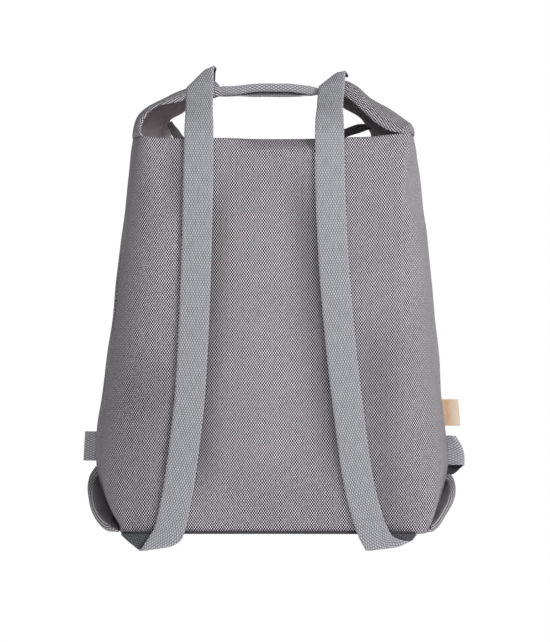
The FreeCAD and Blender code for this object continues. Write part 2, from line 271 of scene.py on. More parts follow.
# height, near-edge half width, half width at the side seam, corner radius
LEFT_SIDE = [
    (0, 153, 157, 9), (8, 154, 160, 10), (16, 159, 165, 13), (28, 165, 172, 18), (45, 171, 178, 30),
    (65, 175, 181.5, 40), (100, 173.5, 181.5, 47), (139, 169, 176.4, 50), (176, 164, 171.2, 50),
    (213, 159, 166, 49), (250, 155.5, 162.5, 47), (287, 150.5, 157.8, 43), (324, 146, 152.7, 36),
    (361, 141.5, 148.5, 25), (398, 135.5, 145, 12),
]
RIGHT_SIDE = [
    (0, 156.5, 160, 9), (8, 159, 163, 10), (20, 163.5, 169, 13), (32, 167, 174, 17), (50, 172, 179, 30),
    (68, 175, 181.4, 40), (102, 173, 178.5, 46), (139, 168.5, 174.2, 47), (176, 165, 172.1, 46),
    (213, 161, 168, 43), (250, 157.5, 164.9, 38), (285, 153.5, 160.8, 28), (305, 149, 158.6, 18),
    (322, 139.5, 156, 11), (336, 135, 154.5, 8), (355, 137, 152.3, 7), (380, 140, 148.6, 7),
    (398, 141, 146.3, 6),
]
# height of the rim's edge: x, z
RIM_HEIGHTS = [
    (-137, 400.5), (-128, 398.4), (-113, 397.1), (-95, 396.7), (0, 396.6), (60, 396.8), (80, 397.2),
    (98, 397.8), (114, 399.6), (128, 401), (139, 402.8),
]


def half_depth(z):
    """Half depth of the filled sack: bowed out low down, tucked in at the base."""
    return 67.8 - 20.5 * (z / RIM) ** 2 - 6.0 * max(0.0, 1.0 - z / 42.0) ** 2


def rim_line(x):
    """Height of the rim's edge, which rises a little at both ends."""
    return along(RIM_HEIGHTS, x)[0]


def section_point(s, z, front):
    """Point of the sack at height z, s millimetres round from the middle of the back or the front."""
    near, seam, corner = along(LEFT_SIDE if s < 0 else RIGHT_SIDE, z)
    if front:
        near, corner = near - 1.0, max(corner, 14.0)
    depth = half_depth(z)
    flat, bend, side = near - corner, math.pi / 2 * corner, depth - corner
    run = abs(s)
    if run < flat:
        x, y = run, -depth
    elif run < flat + bend:
        turn = (run - flat) / corner
        x, y = flat + corner * math.sin(turn), -side - corner * math.cos(turn)
    else:
        share = min(1.0, (run - flat - bend) / side)
        x, y = near + (seam - near) * ease(share), -side * (1 - share)
    return (x if s > 0 else -x), y


def half_girth(z, left):
    """Way round the sack at height z, from the middle of the back to the left or the right side seam."""
    near, _, corner = along(LEFT_SIDE if left else RIGHT_SIDE, z)
    return near - corner + math.pi / 2 * corner + half_depth(z) - corner


def soft_fold(x, middle, left, right):
    """Lengthwise fold: 1 along its middle, fading over its own width on each side."""
    return math.exp(-((x - middle) / (left if x < middle else right)) ** 2)


def sag_of(x, z, front):
    """How far a panel hangs in from its filled shape."""
    sag = bpy.context.scene.backpack_cloth.sag / MM
    seed = 5 if front else 2
    wave = 0.5 + 0.5 * ripple(x, 0, z, 95, seed)
    fine = 0.5 + 0.5 * ripple(x + 0.4 * z, 0, z * 0.6, 34, seed + 1)
    inner = ease((150 - abs(x)) / 60)
    roll_in = 14.0 * math.exp(-((x - 8) / 44) ** 4) * max(0.0, (z - 381) / 17) ** 2
    roll_in += 1.2 * ease((z - 386) / 12)
    toe = 1.6 * ease((7 - z) / 7)
    lean = ease((240 - z) / 230)
    folds = 3.4 * soft_fold(x, -78 - 20 * lean, 15, 25) + 4.4 * soft_fold(x, 20 + 26 * lean, 46, 20)
    folds *= ease((z - 8) / 70) * ease((RIM - 12 - z) / 80)
    drape = 1.4 * math.exp(-((abs(x) - 118 + 0.18 * z) / 14) ** 2) * ease(z / 30) * ease((150 - z) / 90)
    return sag * (0.8 * wave + 0.22 * fine) * inner + roll_in + toe + drape + folds


def sack_surface(s, height, front, inset=0.0):
    """Point of a soft panel; height runs from 0 at the base to RIM at the rim's edge."""
    x, y = section_point(s, height, front)
    z = height * rim_line(x) / RIM
    y += sag_of(x, height, front) * (1.0 if abs(y) > 30 else ease(abs(y) / 30))
    y += inset if abs(y) > 12 else 0.0
    side_pull = ease((abs(x) - 120) / 20)
    x -= math.copysign(inset * side_pull, x)
    seam_pinch = 0.9 * math.exp(-(y / 3.2) ** 2)
    x -= math.copysign(seam_pinch, x)
    x -= math.copysign(1.1 * ease((height - 380) / 18) * side_pull, x)
    crease = 0.9 * ripple(x, y * 2.2, height, 48, 9) * side_pull
    x += crease * (1 if abs(y) > 2 else 0.6)
    return Vector((x, -y if front else y, z))


def panel_place(front, inset=0.0, low=0.0, high=RIM, reach=None):
    """Placing function for a sheet that follows a panel, or part of one."""
    def place(u, v):
        height = low + (high - low) * v
        if reach is None:
            s = half_girth(height, u < 0.5) * (2 * u - 1)
        else:
            s = reach * (2 * u - 1)
        return sack_surface(s, height, front, inset), (s, height)
    return place


# ---------------------------------------------------------------- shader helpers
class Shader:
    """A node tree under construction, with short calls for the nodes used here."""

    def __init__(self, name):
        self.material = bpy.data.materials.new(name)
        self.material.use_nodes = True
        self.tree = self.material.node_tree
        self.tree.nodes.clear()
        self.output = self.tree.nodes.new("ShaderNodeOutputMaterial")
        self.surface = self.tree.nodes.new("ShaderNodeBsdfPrincipled")
        self.link(self.surface.outputs["BSDF"], self.output.inputs["Surface"])

    def link(self, source, target):
        """Joins an output to an input."""
        self.tree.links.new(source, target)

    def put(self, value, socket):
        """Sets a socket to a number or colour, or links another node's output to it."""
        if isinstance(value, bpy.types.NodeSocket):
            self.link(value, socket)
        else:
            socket.default_value = value

    def uv(self):
        """Place on the flat cloth, in metres: the vector, its x and its y."""
        node = self.tree.nodes.new("ShaderNodeUVMap")
        node.uv_map = "cloth"
        split = self.tree.nodes.new("ShaderNodeSeparateXYZ")
        self.link(node.outputs["UV"], split.inputs[0])
        return node.outputs["UV"], split.outputs["X"], split.outputs["Y"]

    def place(self):
        """Place in the piece's own frame."""
        return self.tree.nodes.new("ShaderNodeTexCoord").outputs["Object"]

    def math(self, operation, a, b=0.0):
        """One calculation with one or two values."""
        node = self.tree.nodes.new("ShaderNodeMath")
        node.operation = operation
        for value, socket in zip((a, b), node.inputs):
            self.put(value, socket)
        return node.outputs[0]

    def plus(self, a, b):
        """Sum of two values."""
        return self.math("ADD", a, b)

    def minus(self, a, b):
        """First value less the second."""
        return self.math("SUBTRACT", a, b)

    def times(self, a, b):
        """Product of two values."""
        return self.math("MULTIPLY", a, b)

    def scaled(self, vector, factors):
        """Vector stretched along its three axes."""
        node = self.tree.nodes.new("ShaderNodeVectorMath")
        node.operation = "MULTIPLY"
        self.put(vector, node.inputs[0])
        node.inputs[1].default_value = factors
        return node.outputs[0]

    def noise(self, vector, scale, detail=2.0, roughness=0.5):
        """Smooth noise from 0 to 1."""
        node = self.tree.nodes.new("ShaderNodeTexNoise")
        node.inputs["Scale"].default_value = scale
        node.inputs["Detail"].default_value = detail
        node.inputs["Roughness"].default_value = roughness
        self.put(vector, node.inputs["Vector"])
        return node.outputs["Fac"]

    def ramp(self, value, low, high, out_low=0.0, out_high=1.0, smooth=True):
        """Value carried from one range into another."""
        node = self.tree.nodes.new("ShaderNodeMapRange")
        node.interpolation_type = "SMOOTHSTEP" if smooth else "LINEAR"
        for number, socket in zip((value, low, high, out_low, out_high), node.inputs):
            self.put(number, socket)
        return node.outputs[0]

    def mix(self, factor, a, b, blend="MIX"):
        """Blend of two colours."""
        node = self.tree.nodes.new("ShaderNodeMix")
        node.data_type = "RGBA"
        node.blend_type = blend
        for name, value in (("Factor", factor), ("A", a), ("B", b)):
            socket = next(s for s in node.inputs
                          if s.name == name and (s.type == "RGBA" or name == "Factor"))
            if hasattr(value, "__len__"):
                value = (*value[:3], 1.0)
            self.put(value, socket)
        return next(s for s in node.outputs if s.type == "RGBA")

    def tinted(self, colour, tone):
        """Colour made darker or lighter by a tone around 1."""
        grey = self.tree.nodes.new("ShaderNodeCombineColor")
        for socket in grey.inputs:
            self.link(tone, socket)
        return self.mix(1.0, colour, grey.outputs[0], "MULTIPLY")

    def bump(self, height, distance, strength=1.0, normal=None):
        """Normal of a surface raised by a height from 0 to 1."""
        node = self.tree.nodes.new("ShaderNodeBump")
        node.inputs["Distance"].default_value = distance
        node.inputs["Strength"].default_value = strength
        self.put(height, node.inputs["Height"])
        if normal is not None:
            self.link(normal, node.inputs["Normal"])
        return node.outputs["Normal"]

    def finish(self, colour, roughness, normal=None, **constants):
        """Sets the surface and hands over the material."""
        self.put(colour if isinstance(colour, bpy.types.NodeSocket) else (*colour, 1.0),
                 self.surface.inputs["Base Color"])
        self.put(roughness, self.surface.inputs["Roughness"])
        if normal is not None:
            self.link(normal, self.surface.inputs["Normal"])
        for name, value in constants.items():
            self.surface.inputs[name.replace("_", " ")].default_value = value
        return self.material


def checker(shader, u, v, width, height):
    """Product of two sines: a rounded checkerboard from -1 to 1 with fields of width by height."""
    return shader.times(shader.math("SINE", shader.times(u, math.pi / width)),
                        shader.math("SINE", shader.times(v, math.pi / height)))


# painted shade along soft lengthwise bands of the back panel, standing in for the shade of its folds; the
# fifth is a painted lighter band and the sixth a painted shadow beside the left strap; in metres apart from
# lean and depth:
# place at the base, lean, half width, depth, lowest, highest
PAINTED_SHADES = (
    (-0.073, 0.055, 0.013, 0.34, 0.02, 0.37),
    (0.074, -0.128, 0.016, 0.34, 0.04, 0.38),
    (-0.138, 0.08, 0.030, 0.24, -0.05, 0.20),
    (0.112, -0.05, 0.020, 0.24, -0.05, 0.23),
    (0.0, 0.0, 0.024, -0.07, 0.02, 0.36),
    (-0.098, 0.0, 0.007, 0.30, 0.30, 0.42),
)
PAINTED_SHADE_FADE = 0.07


def painted_panel_shades(shader, u, v):
    """Tone around 1 of painted shade along a few lengthwise bands of the back panel, with one painted
    lighter band.
    """
    tone = 1.0
    for place, lean, width, depth, low, high in PAINTED_SHADES:
        middle = shader.plus(shader.times(v, lean), place)
        offset = shader.math("DIVIDE", shader.minus(u, middle), width)
        bell = shader.math("POWER", math.e, shader.times(shader.times(offset, offset), -1.0))
        rise = shader.ramp(v, low, low + PAINTED_SHADE_FADE)
        fall = shader.ramp(v, high - PAINTED_SHADE_FADE, high, 1.0, 0.0)
        share = shader.times(bell, shader.times(rise, fall))
        tone = shader.times(tone, shader.minus(1.0, shader.times(share, depth)))
    return tone


def basket_weave(name="basket_weave", painted_shades=False):
    """Two-tone body fabric: pale and charcoal floats, each a small rounded pillow, with a painted grazing
    sheen where the cloth turns sideways, painted shade where it faces up and, in the back panel's copy,
    painted lengthwise shade.
    """
    cloth = bpy.context.scene.backpack_cloth
    shader = Shader(name)
    uv, u, v = shader.uv()
    wander = shader.times(shader.minus(shader.noise(uv, 130.0, 2.0), 0.5), 0.00055)
    u = shader.plus(u, wander)
    v = shader.minus(v, wander)
    cells = checker(shader, u, v, cloth.float_width, cloth.float_height)
    # painted light by facing: where the cloth turns sideways its weave contrast is flattened (painted
    # grazing sheen), and where it faces up it gets fewer pale floats (painted shade)
    turned = shader.tree.nodes.new("ShaderNodeSeparateXYZ")
    shader.link(shader.tree.nodes.new("ShaderNodeTexCoord").outputs["Normal"], turned.inputs[0])
    contrast_under_painted_sheen = shader.ramp(shader.math("ABSOLUTE", turned.outputs["Y"]), 0.40, 0.95, 0.34, 1.0, False)
    sharp = shader.minus(shader.ramp(cells, 0.02, 0.20), 0.42)
    pale_share_painted_top_shade = shader.ramp(turned.outputs["Z"], 0.35, 0.85, 0.42, 0.30, False)
    pale = shader.plus(shader.times(sharp, contrast_under_painted_sheen), pale_share_painted_top_shade)
    slub = shader.noise(shader.scaled(uv, (180.0, 1400.0, 1.0)), 1.0, 1.0)
    pick = shader.noise(shader.scaled(uv, (1400.0, 180.0, 1.0)), 1.0, 1.0)
    yarn = shader.plus(shader.times(slub, 0.5), shader.times(pick, 0.5))
    base = shader.mix(pale, cloth.dark, cloth.light)
    shade = shader.ramp(yarn, 0.3, 0.7, 0.74, 1.2, False)
    patch = shader.ramp(shader.noise(uv, 9.0, 3.0), 0.3, 0.7, 0.93, 1.06, False)
    tone = shader.times(shade, patch)
    # the back panel's copy gets the painted lengthwise shade and the painted strap shadow
    if painted_shades:
        tone = shader.times(tone, painted_panel_shades(shader, u, v))
    colour = shader.tinted(base, tone)
    height = shader.math("POWER", shader.math("ABSOLUTE", cells), 0.6)
    normal = shader.bump(height, 0.35 * MM, 0.8)
    roughness = shader.ramp(pale, 0.0, 1.0, 0.62, 0.82, False)
    return shader.finish(colour, roughness, normal, Sheen_Weight=0.02, Sheen_Roughness=0.45,
                         Specular_IOR_Level=0.06)


def coated_back():
    """Inner face of the body fabric under its thin coating."""
    cloth = bpy.context.scene.backpack_cloth
    shader = Shader("coated_back")
    uv, u, v = shader.uv()
    cells = checker(shader, u, v, cloth.float_width, cloth.float_height)
    ghost = shader.ramp(cells, -0.4, 0.6, 0.0, 0.75)
    colour = shader.mix(ghost, cloth.coating, tuple(0.35 * c for c in cloth.coating))
    mottled = shader.mix(shader.ramp(shader.noise(uv, 60.0, 3.0), 0.35, 0.7, 0.0, 0.3), colour,
                         tuple(1.25 * c for c in cloth.coating))
    normal = shader.bump(shader.math("ABSOLUTE", cells), 0.12 * MM, 0.6)
    return shader.finish(mottled, shader.ramp(shader.noise(uv, 90.0), 0.3, 0.7, 0.45, 0.6), normal,
                         Specular_IOR_Level=0.4)


def webbing_weave(name, colour, contrast):
    """Plain-woven webbing: staggered floats in rows, firmer along both selvedges."""
    webbing = bpy.context.scene.backpack_webbing
    shader = Shader(name)
    uv, u, v = shader.uv()
    cells = checker(shader, u, v, webbing.bead, webbing.pick)
    picks = shader.math("ABSOLUTE", shader.math("SINE", shader.times(v, math.pi / webbing.pick)))
    lift = shader.ramp(shader.plus(cells, shader.times(picks, 0.55)), -0.5, 1.2)
    dark = tuple((1.0 - contrast) * c for c in colour)
    light = tuple(min(1.0, (1.0 + 0.5 * contrast) * c) for c in colour)
    base = shader.mix(lift, dark, light)
    rib = shader.noise(shader.scaled(uv, (900.0, 90.0, 1.0)), 1.0, 1.0)
    mixed = shader.tinted(base, shader.ramp(rib, 0.3, 0.7, 0.88, 1.1, False))
    selvedge = shader.ramp(shader.math("ABSOLUTE", u), 0.0141, 0.0148)
    edged = shader.mix(shader.times(selvedge, 0.35), mixed, light)
    height = shader.plus(lift, shader.times(selvedge, 0.5))
    normal = shader.bump(height, 0.3 * MM, 0.85)
    return shader.finish(edged, shader.ramp(lift, 0.0, 1.0, 0.85, 0.7, False), normal, Sheen_Weight=0.22,
                         Sheen_Roughness=0.5, Specular_IOR_Level=0.3)


def plain_thread(name, colour):
    """Twisted sewing thread."""
    shader = Shader(name)
    place = shader.place()
    twist = shader.tree.nodes.new("ShaderNodeTexWave")
    twist.bands_direction = "DIAGONAL"
    twist.inputs["Scale"].default_value = 900.0
    shader.link(place, twist.inputs["Vector"])
    tint = shader.mix(twist.outputs["Fac"], tuple(0.7 * c for c in colour), colour)
    return shader.finish(tint, 0.6, shader.bump(twist.outputs["Fac"], 0.1 * MM), Sheen_Weight=0.2)


def veg_leather():
    """Undyed vegetable-tanned leather: tan by the seam, paler towards the fold, fine pores."""
    webbing = bpy.context.scene.backpack_webbing
    shader = Shader("veg_leather")
    uv, u, _ = shader.uv()
    tan = shader.ramp(u, 0.0, 0.011)
    mottled = shader.noise(uv, 260.0, 4.0, 0.6)
    warm = tuple(c * f for c, f in zip(webbing.leather, (0.92, 0.80, 0.68)))
    pale = tuple(c * f for c, f in zip(webbing.leather, (1.0, 1.1, 1.22)))
    base = shader.mix(tan, warm, pale)
    spots = shader.ramp(mottled, 0.45, 0.75, 0.0, 0.35)
    base = shader.mix(spots, base, tuple(0.78 * c for c in webbing.leather))
    pores = shader.tree.nodes.new("ShaderNodeTexVoronoi")
    pores.inputs["Scale"].default_value = 1900.0
    shader.link(uv, pores.inputs["Vector"])
    grain = shader.ramp(pores.outputs["Distance"], 0.0, 0.5)
    normal = shader.bump(grain, 0.08 * MM, 0.5, shader.bump(mottled, 0.4 * MM, 0.5))
    return shader.finish(base, shader.ramp(mottled, 0.3, 0.7, 0.5, 0.66), normal, Specular_IOR_Level=0.4)


def leather_edge():
    """Cut edge of the leather, with its fibres in layers."""
    shader = Shader("leather_edge")
    layers = shader.noise(shader.scaled(shader.place(), (300.0, 300.0, 2500.0)), 1.0, 3.0)
    tint = shader.mix(layers, (0.62, 0.42, 0.26), (0.84, 0.68, 0.5))
    return shader.finish(tint, 0.75, shader.bump(layers, 0.15 * MM, 0.7))


def zip_tape_cloth():
    """Fine herringbone tape."""
    shader = Shader("zip_tape_cloth")
    split = shader.tree.nodes.new("ShaderNodeSeparateXYZ")
    shader.link(shader.place(), split.inputs[0])
    x, y = split.outputs["X"], split.outputs["Y"]
    zigzag = shader.math("PINGPONG", y, 1.5 * MM)
    diagonal = shader.math("SINE", shader.times(shader.plus(x, zigzag), 6500.0))
    tint = shader.mix(shader.ramp(diagonal, -0.8, 0.8), (0.045, 0.045, 0.05), (0.12, 0.12, 0.13))
    return shader.finish(tint, 0.8, shader.bump(diagonal, 0.1 * MM, 0.7), Sheen_Weight=0.2)


def nylon():
    """Dark nylon of the zip's teeth."""
    shader = Shader("nylon")
    wear = shader.noise(shader.place(), 700.0, 3.0)
    tint = shader.mix(wear, (0.03, 0.03, 0.034), (0.07, 0.07, 0.075))
    return shader.finish(tint, shader.ramp(wear, 0.3, 0.7, 0.35, 0.5), None, Specular_IOR_Level=0.5)


def nickel():
    """Dark plated zinc with fine streaky scratches and a cloudy tone."""
    shader = Shader("nickel")
    place = shader.place()
    scratches = shader.noise(shader.scaled(place, (400.0, 4000.0, 4000.0)), 1.0, 2.0)
    cloudy = shader.noise(place, 250.0, 3.0)
    tint = shader.mix(cloudy, (0.30, 0.30, 0.31), (0.44, 0.44, 0.45))
    rough = shader.ramp(scratches, 0.3, 0.7, 0.24, 0.4)
    return shader.finish(tint, rough, shader.bump(scratches, 0.03 * MM, 0.4), Metallic=1.0)


def board():
    """Dark pressed board that stiffens the base."""
    shader = Shader("board")
    fibres = shader.noise(shader.scaled(shader.place(), (200.0, 900.0, 400.0)), 1.0, 4.0)
    tint = shader.mix(fibres, (0.012, 0.012, 0.014), (0.03, 0.03, 0.032))
    return shader.finish(tint, shader.ramp(fibres, 0.3, 0.7, 0.5, 0.7), shader.bump(fibres, 0.2 * MM, 0.5))


def base_cloth():
    """Plain dark cloth under the base."""
    shader = Shader("base_cloth")
    _, u, v = shader.uv()
    cells = checker(shader, u, v, 0.9 * MM, 0.9 * MM)
    tint = shader.mix(shader.ramp(cells, -0.8, 0.8), (0.03, 0.03, 0.034), (0.085, 0.083, 0.09))
    return shader.finish(tint, 0.8, shader.bump(cells, 0.2 * MM, 0.7), Sheen_Weight=0.2)


def finishes():
    """All materials by name, made once."""
    made = {m.name: m for m in bpy.data.materials}
    if "basket_weave" in made:
        return made
    webbing = bpy.context.scene.backpack_webbing
    built = [
        basket_weave(), basket_weave("basket_weave_back", True), coated_back(),
        webbing_weave("webbing_face", webbing.face, 0.56),
        # painted shade: the webbing's reverse, much darker than its face
        webbing_weave("webbing_reverse", webbing.reverse, 0.6),
        # painted light: a lighter copy of the webbing's reverse for the handle's inside
        webbing_weave("webbing_inside", (0.36, 0.362, 0.385), 0.7),
        # painted shade: a near-black copy of the webbing's reverse for the shade inside the side loop
        webbing_weave("loop_reverse", (0.05, 0.047, 0.05), 0.5),
        webbing_weave("binding", (0.19, 0.18, 0.185), 0.5),
        plain_thread("body_thread", (0.22, 0.213, 0.225)),
        plain_thread("webbing_thread", (0.42, 0.42, 0.45)),
        plain_thread("label_thread", (0.82, 0.76, 0.66)),
        veg_leather(), leather_edge(), zip_tape_cloth(), nylon(), nickel(), board(), base_cloth(),
    ]
    return {m.name: m for m in built}


# ---------------------------------------------------------------- pieces
def stitch_row(name, points, body, material, pitch=3.6, length=2.5, width=0.62):
    """A row of thread stitches that lie along a line of points, each a small flattened bead."""
    bm = bmesh.new()
    travelled, next_at = 0.0, pitch / 2
    for a, b in zip(points, points[1:]):
        step = (b - a).length
        while step > 0 and next_at <= travelled + step:
            spot = a.lerp(b, (next_at - travelled) / step)
            turn = (b - a).to_track_quat("X", "Z").to_matrix().to_4x4()
            add_bead(bm, spot, turn, (length / 2, width / 2, width / 2))
            next_at += pitch
        travelled += step
    return finish_piece(bm, name, body, [material])


# seam binding: width, level of its lower end and length, in millimetres
BINDING = (14, 30, RIM - 34)


def build_panels():
    """Back and front panels, rim hems and seam bindings."""
    made = finishes()
    skins = [made["basket_weave"], made["coated_back"]]
    for side, front in (("back", False), ("front", True)):
        # the back panel wears the copy of the weave with painted lengthwise shade
        outer = made["basket_weave"] if front else made["basket_weave_back"]
        piece = sew(cloth_grid(170, 170, panel_place(front)), side + "_panel_cloth", [outer, skins[1]],
                    [side + "_panel"], FABRIC, MID_BAG)
        hem = sew(cloth_grid(110, 8, panel_place(front, 1.8, RIM - 12, RIM - 0.6, 132.0)),
                  "rim_hem_" + side + "_cloth", skins, ["rim_hem_" + side], 1.0, MID_BAG)
    width, foot, run = BINDING
    for side, sign, keys in (("left", -1, LEFT_SIDE), ("right", 1, RIGHT_SIDE)):
        def place(u, v):
            z = foot + run * v
            y = width * (u - 0.5)
            return Vector((sign * (along(keys, z)[1] - 3.0), y, z)), (y, z)
        binding = sew(cloth_grid(6, 90, place), "seam_binding_" + side + "_tape", [made["binding"]],
                      ["seam_binding_" + side], 1.0, MID_BAG, inner_slot=0)


# free near edge of each corner fold, from the base up to its tip: share, distance out, height, depth
FOLD_EDGES = {
    "left": [(0, 154.5, 0.4, -59.5), (0.12, 165.5, 1.2, -57.5), (0.25, 174.0, 7.0, -52.5),
             (0.38, 181.3, 16.2, -45), (0.52, 186.1, 28.4, -36.5), (0.65, 188.6, 39, -28),
             (0.78, 188.9, 46.4, -19), (0.9, 187, 53.8, -10), (1.0, 181.8, 62, -2)],
    "right": [(0, 155.5, 0.4, -59.5), (0.12, 161.2, 1.0, -57.5), (0.25, 168.3, 6.4, -52.5),
              (0.38, 175.2, 15.6, -45), (0.52, 181.8, 25, -36.5), (0.65, 186.0, 34.7, -28),
              (0.78, 187.2, 42.6, -19), (0.9, 185.9, 49.5, -10), (1.0, 180.9, 56, -2)],
}
# rolled edge of a fold: share, how far out, how far towards the middle of the side
FOLD_ROLL = [(0, -19.0, 38.0), (0.06, -12.0, 24.0), (0.12, -8.2, 9.0), (0.2, -6.6, 0.7), (0.3, -4.6, -0.4),
             (0.4, -2.4, 0.1), (0.5, -0.8, 1.8), (0.62, 0.0, 5.0), (1.0, 0.8, 12.0)]


def fold_point(side, u, v):
    """Point of a corner fold; u runs from its near rolled edge to the far one, v from base to tip."""
    keys = FOLD_EDGES[side]
    out, height, depth = along(keys, v)
    ahead = along(keys, min(1.0, v + 0.02))
    back = along(keys, max(0.0, v - 0.02))
    heading = Vector((ahead[0] - back[0], ahead[1] - back[1])).normalized()
    share = 1 - abs(2 * u - 1)
    lift, inward = along(FOLD_ROLL, share)
    room = min(1.0, abs(depth) / 13.0)
    if share > 0.62:
        y = depth + 5.0 * room + (-depth - 5.0 * room) * (share - 0.62) / 0.38
    else:
        y = min(depth + inward * room, 0.0)
    lift *= 0.35 + 0.65 * min(1.0, v / 0.14)
    point = Vector((out + heading.y * lift, y, height - heading.x * lift))
    point.x += 0.45 * ripple(point.x, point.y, point.z, 15, 3 if side == "left" else 4)
    point.z = max(point.z, 0.3)
    return Vector((-point.x if side == "left" else point.x, -point.y if u > 0.5 else point.y, point.z))


def build_corner_folds():
    """The sack's bottom corners: each is a cloth triangle folded up and tacked against the side seam."""
    made = finishes()
    for side, inside in (("left", (-150, 0, 40)), ("right", (150, 0, 40))):
        bm = measured_grid(96, 60, lambda u, v: fold_point(side, u, v))
        fold = sew(bm, "corner_fold_" + side, [made["basket_weave"], made["coated_back"]], (),
                   1.2, inside)


def build_base():
    """Dark base cloth with its turned edge."""
    made = finishes()

    def place(u, reach):
        turn = 2 * math.pi * u
        flat = 153.0 if math.cos(turn) < 0 else 155.5
        deep = half_depth(0) + 0.7
        power = 0.16
        x = flat * math.copysign(abs(math.cos(turn)) ** power, math.cos(turn)) * reach
        y = deep * math.copysign(abs(math.sin(turn)) ** power, math.sin(turn)) * reach
        z = 0.5 - 1.3 * ease((reach - 0.93) / 0.05) + 0.5 * (1 - reach) + 0.2 * ripple(x, y, 0, 40, 6)
        return Vector((x, y, z)), (x, y)
    bm = cloth_grid(160, 40, place)
    bmesh.ops.remove_doubles(bm, verts=bm.verts, dist=0.02 * MM)
    bmesh.ops.dissolve_degenerate(bm, dist=0.005 * MM, edges=bm.edges)
    bm.normal_update()
    faces_along(bm, (0, 0, -1))
    base = sew(bm, "base_cloth_panel", [made["base_cloth"]], ["base_panel"], FABRIC,
               inner_slot=0)


# near hem, crown and far hem of each ear, from the rim (0) to the tip (1)
EAR_LINES = {
    "left": {
        "near": [(0, -135.5, -46.5, 398.5), (0.10, -134.6, -46, 403.5), (0.20, -132.6, -45, 409.2),
                 (0.32, -127.5, -43.3, 418), (0.44, -121.5, -39, 426.0), (0.54, -115.5, -34, 430.5),
                 (0.64, -107, -28.5, 432.6), (0.74, -97.5, -22, 435), (0.83, -89, -16.5, 437.8),
                 (0.94, -66, -11, 442), (1, -50.5, -8.5, 443)],
        "crown": [(0, -144.9, 0, 398), (0.10, -143.9, 0, 404), (0.20, -140.9, 0, 414),
                  (0.32, -134.9, 0, 423.4), (0.44, -128.1, 0, 430.4), (0.54, -120.0, 0, 435.8),
                  (0.64, -110.5, 0, 441.2), (0.74, -100.0, 0, 446.5), (0.83, -89.2, 0, 451.3),
                  (0.94, -64, 0, 461), (1, -50, 0, 457.5)],
        "far": [(0, -106, 47, 398), (0.10, -106, 46, 405), (0.20, -107, 44, 412), (0.32, -107.5, 39, 418.5),
                (0.44, -106.8, 33, 422.5), (0.54, -104, 28.5, 424.3), (0.64, -99, 24, 426),
                (0.74, -93.5, 20, 428.6), (0.83, -85, 15, 434), (0.94, -66, 10.5, 441), (1, -53, 8, 445)],
    },
    "right": {
        "near": [(0, 138.8, -47, 402.5), (0.10, 136.5, -47, 402.4), (0.20, 130, -46.3, 401.8),
                 (0.32, 121, -44, 403.3), (0.44, 112, -40.5, 407.2), (0.54, 104, -36, 412.9),
                 (0.64, 97, -31, 420), (0.74, 89, -25.5, 428), (0.83, 81, -19.5, 436),
                 (0.94, 68, -13, 444), (1, 50, -9, 446)],
        "crown": [(0, 146.3, 0, 398), (0.10, 145.6, 0, 405), (0.20, 143.0, 0, 412.3),
                  (0.32, 137.4, 0, 417.6), (0.44, 127.4, 0, 424.9), (0.54, 116.5, 0, 432.0),
                  (0.64, 105.5, 0, 438.4), (0.74, 96, 0, 445.6), (0.83, 86.6, 0, 454.2),
                  (0.94, 72, 0, 460), (1, 50, 0, 457)],
        "far": [(0, 104.7, 46.5, 399), (0.10, 104.7, 45.5, 405), (0.20, 103.5, 43.5, 410),
                (0.32, 101, 40, 414.5), (0.44, 98.5, 36.5, 417.0), (0.54, 95.5, 33, 420.0),
                (0.64, 92, 28, 423.6), (0.74, 86, 22, 427.5), (0.83, 76, 16, 432), (0.94, 66, 11, 438),
                (1, 50, 8.5, 445)],
    },
}


def ear_root(side, u):
    """Point where an ear grows out of the rim, from the near corner round the side to the front."""
    sign = -1 if side == "left" else 1
    near, _, corner = along(LEFT_SIDE if side == "left" else RIGHT_SIDE, RIM)
    girth = half_girth(RIM, side == "left")
    start, stop = near - 0.25 * corner, abs(EAR_LINES[side]["far"][0][1])
    run = start + (girth - start) * 2 * u if u < 0.5 else stop + (girth - stop) * (2 - 2 * u)
    return sack_surface(sign * run, RIM, u > 0.5, 0.35) - Vector((0, 0, 0.8))


def ear_point(side, u, v, inset=0.0):
    """Point of an ear's arch: u runs over the arch from the near hem to the far hem, v from rim to tip."""
    lines = EAR_LINES[side]
    near, crown, far = (Vector(along(lines[name], v)) for name in ("near", "crown", "far"))
    hem = near if u < 0.5 else far
    angle = math.pi / 2 * (1 - abs(2 * u - 1))
    across = Vector((0, hem.y - crown.y, 0))
    drop = hem - crown - across
    closing = 1.0 if v < 0.94 else math.sqrt(max(0.05, 1 - ((v - 0.94) / 0.06) ** 2))
    squareness = 1 - 0.45 * (1 - ease(v / 0.4))
    wide, tall = math.cos(angle) ** squareness, math.sin(angle) ** squareness
    point = crown + across * wide * closing + drop * (1 - tall * closing)
    bulge = 1.2 * math.sin(2 * angle) * (1 - 0.6 * v)
    point += (across.normalized() - drop.normalized()) * bulge
    soft = 0.9 * ripple(point.x, point.y, point.z, 26, 4) + 0.4 * ripple(point.x, point.y, point.z, 11, 8)
    point += Vector((-1 if side == "left" else 1, 0, 0.8)).normalized() * soft * ease(v * 5)
    if inset:
        point -= (across.normalized() * math.cos(angle) - drop.normalized() * math.sin(angle)) * inset
    grown = min(1.0, v / 0.26)
    return ear_root(side, u).lerp(point, 1 - (1 - grown) ** 1.6)


